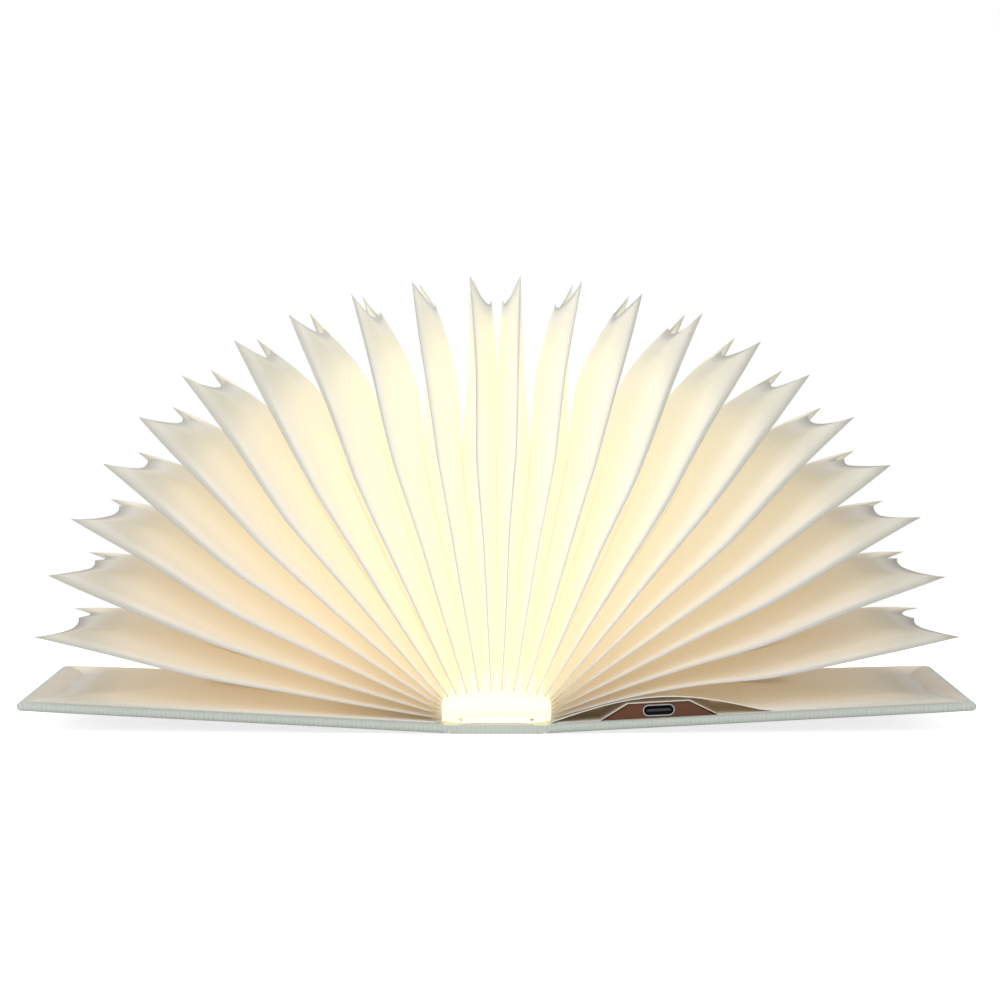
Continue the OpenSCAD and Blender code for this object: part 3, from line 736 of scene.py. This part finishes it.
def make_page(side, i):
    """Runs the tree for one page, thickens the sheet and joins it to its two bodies."""
    name = f"page_{'front' if side == FRONT else 'back'}_{i:02d}"
    sketch = bpy.data.objects.new(name + "_sketch", bpy.data.meshes.new(name))
    bpy.context.scene.collection.objects.link(sketch)
    tree_step = sketch.modifiers.new("folded page", "NODES")
    tree_step.node_group = page_tree
    for size, value in page_sizes(side, i).items():
        tree_step[socket_of[size]] = float(value)
    tree_step[socket_of["Paper"]] = finishes["page_paper"]
    thick = sketch.modifiers.new("paper thickness", "SOLIDIFY")
    thick.thickness = PAPER_T * MM
    thick.offset = 0
    thick.use_rim = True
    evaluated = sketch.evaluated_get(bpy.context.evaluated_depsgraph_get())
    mesh = bpy.data.meshes.new_from_object(evaluated)
    bpy.data.objects.remove(sketch)
    page = bpy.data.objects.new(name, mesh)
    bpy.context.scene.collection.objects.link(page)
    for face in mesh.polygons:
        face.use_smooth = True
    near, far = pleat_body(side, i - 1), pleat_body(side, i)
    if i == FOLDS:
        far = "front_cover" if side == FRONT else "back_cover"
    shares = np.zeros(len(mesh.vertices), np.float32)
    mesh.attributes["turn_share"].data.foreach_get("value", shares)
    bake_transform(page, near, far, start=(0, 0, 0), end=(side * 0.1, 0, 0))
    # The ramp from that start to that end isn't used: each point gets its share by angle.
    mesh.attributes["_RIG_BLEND"].data.foreach_set("value", shares)
    return page


pages = {(side, i): make_page(side, i) for side in (FRONT, BACK) for i in range(1, FOLDS + 1)}
for side in (FRONT, BACK):
    for i in range(FOLDS):
        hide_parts(pleat_body(side, i).removesuffix("_paper"))
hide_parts("light_sleeve")
print(len(pages), "pages,", sum(len(p.data.polygons) for p in pages.values()), "faces")

# %% [markdown]
# ## The joints of the book cloth
# On a bound book one cloth runs from the spine over both joints to the covers, and is turned in at
# its ends. The solid model leaves a slot there, so that the covers can swing. A narrow band of
# cloth closes each slot. It is cut in steps across the hinge and blends between the spine and the
# cover, so it bends round the joint and doesn't tear.

# %% Joint cloth
JOINT_STEPS = 14
JOINT_L = 159.8                       # just short of the cloth, just past the boards
JOINT_FOOT, JOINT_HEAD = (10.9, 14.3), (9.3, 16.5)      # from the spine to the cover, low and high
JOINT_LOW, JOINT_HIGH, JOINT_GROOVE = 0.12, 2.42, 0.25
JOINT_INNER, JOINT_OUTER = 11.1, 13.9                   # where the cloth starts and stops to bend


def make_joint(side):
    """A band of cloth in rings of four corners, from the spine out to one cover."""
    name = ("front" if side == FRONT else "back") + "_joint_cloth"
    shape = bmesh.new()
    rings = []
    for step in range(JOINT_STEPS + 1):
        share = step / JOINT_STEPS
        groove = JOINT_GROOVE * math.sin(math.pi * share)
        foot, head = mix(*JOINT_FOOT, share), mix(*JOINT_HEAD, share)
        low, high = JOINT_LOW + groove, JOINT_HIGH - groove
        corners = ((foot, -0.5, low), (foot, 0.5, low), (head, 0.5, high), (head, -0.5, high))
        rings.append([shape.verts.new((side * x * MM, y * JOINT_L * MM, z * MM))
                      for x, y, z in corners])
    for near, far in zip(rings, rings[1:]):
        for k in range(4):
            shape.faces.new((near[k], near[(k + 1) % 4], far[(k + 1) % 4], far[k]))
    shape.faces.new(rings[0])
    shape.faces.new(rings[-1])
    bmesh.ops.recalc_face_normals(shape, faces=shape.faces)
    mesh = bpy.data.meshes.new(name)
    shape.to_mesh(mesh)
    shape.free()
    mesh.materials.append(finishes["cover_cloth"])
    joint = bpy.data.objects.new(name, mesh)
    bpy.context.scene.collection.objects.link(joint)
    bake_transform(joint, "spine", "front_cover" if side == FRONT else "back_cover",
             start=(side * JOINT_INNER * MM, 0, 0), end=(side * JOINT_OUTER * MM, 0, 0))
    return joint


joints = [make_joint(side) for side in (FRONT, BACK)]
print(len(joints), "joint cloths,", sum(len(j.data.polygons) for j in joints), "faces")

# %% [markdown]
# ## Floor, background and studio light
# A pale floor and soft light from large panels show the paper's shading plainly. The background is
# full white only for the camera, in reflections and through clear pieces. On the lamp itself it
# shines less, so the shading stays.

# %% Floor
FLOOR_HALF, FLOOR_DROP = 0.45, 0.0002          # in metres
FLOOR_SHINE = 0.8


def pale_floor():
    """A floor that looks nearly white to the camera and gives off no light of its own."""
    finish, tree, shader = new_finish("floor", (0.92, 0.92, 0.92), 0.9)
    light_path = tree.nodes.new("ShaderNodeLightPath")
    seen = Term(tree, light_path.outputs["Is Camera Ray"]) * FLOOR_SHINE
    tree.links.new(seen.source, shader.inputs["Emission Strength"])
    shader.inputs["Emission Color"].default_value = (1, 1, 1, 1)
    return finish


floor_corners = [(x * FLOOR_HALF, y * FLOOR_HALF, 0)
                 for x, y in ((-1, -1), (1, -1), (1, 1), (-1, 1))]
floor_mesh = bpy.data.meshes.new("floor")
floor_mesh.from_pydata(floor_corners, [], [(0, 1, 2, 3)])
floor = bpy.data.objects.new("floor", floor_mesh)
floor.data.materials.append(pale_floor())
floor.location.z = -FLOOR_DROP
bpy.context.scene.collection.objects.link(floor)
print("the floor is", 2 * FLOOR_HALF, "m wide")

# %% Background
WORLD_LIGHT = 0.42                             # its strength on the lamp
world = bpy.data.worlds.new("studio")
bpy.context.scene.world = world
world.use_nodes = True
backdrop = world.node_tree.nodes["Background"]
light_path = world.node_tree.nodes.new("ShaderNodeLightPath")
shown = (Term(world.node_tree, light_path.outputs["Is Camera Ray"])
         + Term(world.node_tree, light_path.outputs["Is Glossy Ray"])
         + Term(world.node_tree, light_path.outputs["Is Transmission Ray"])).held()
strength = shown * (1 - WORLD_LIGHT) + WORLD_LIGHT
world.node_tree.links.new(strength.source, backdrop.inputs["Strength"])
backdrop.inputs["Color"].default_value = (1, 1, 1, 1)
print("the background shines on the lamp at", WORLD_LIGHT)


# %% Studio panels
MIDDLE = (0, 0, 0.05)


def add_panel(name, place, width, power):
    """A square soft light that faces the middle of the lamp."""
    data = bpy.data.lights.new(name, "AREA")
    data.size = width
    data.energy = power
    panel = bpy.data.objects.new(name, data)
    panel.location = place
    panel.rotation_euler = (Vector(MIDDLE) - Vector(place)).to_track_quat("-Z", "Y").to_euler()
    bpy.context.scene.collection.objects.link(panel)


add_panel("key panel", (-0.5, -1.45, 0.65), width=0.9, power=10.0)
add_panel("fill panel", (1.0, -0.9, 0.7), width=0.9, power=1.4)
add_panel("top panel", (-0.1, 0.5, 1.4), width=1.0, power=6.0)
print(len(bpy.data.lights), "panels")
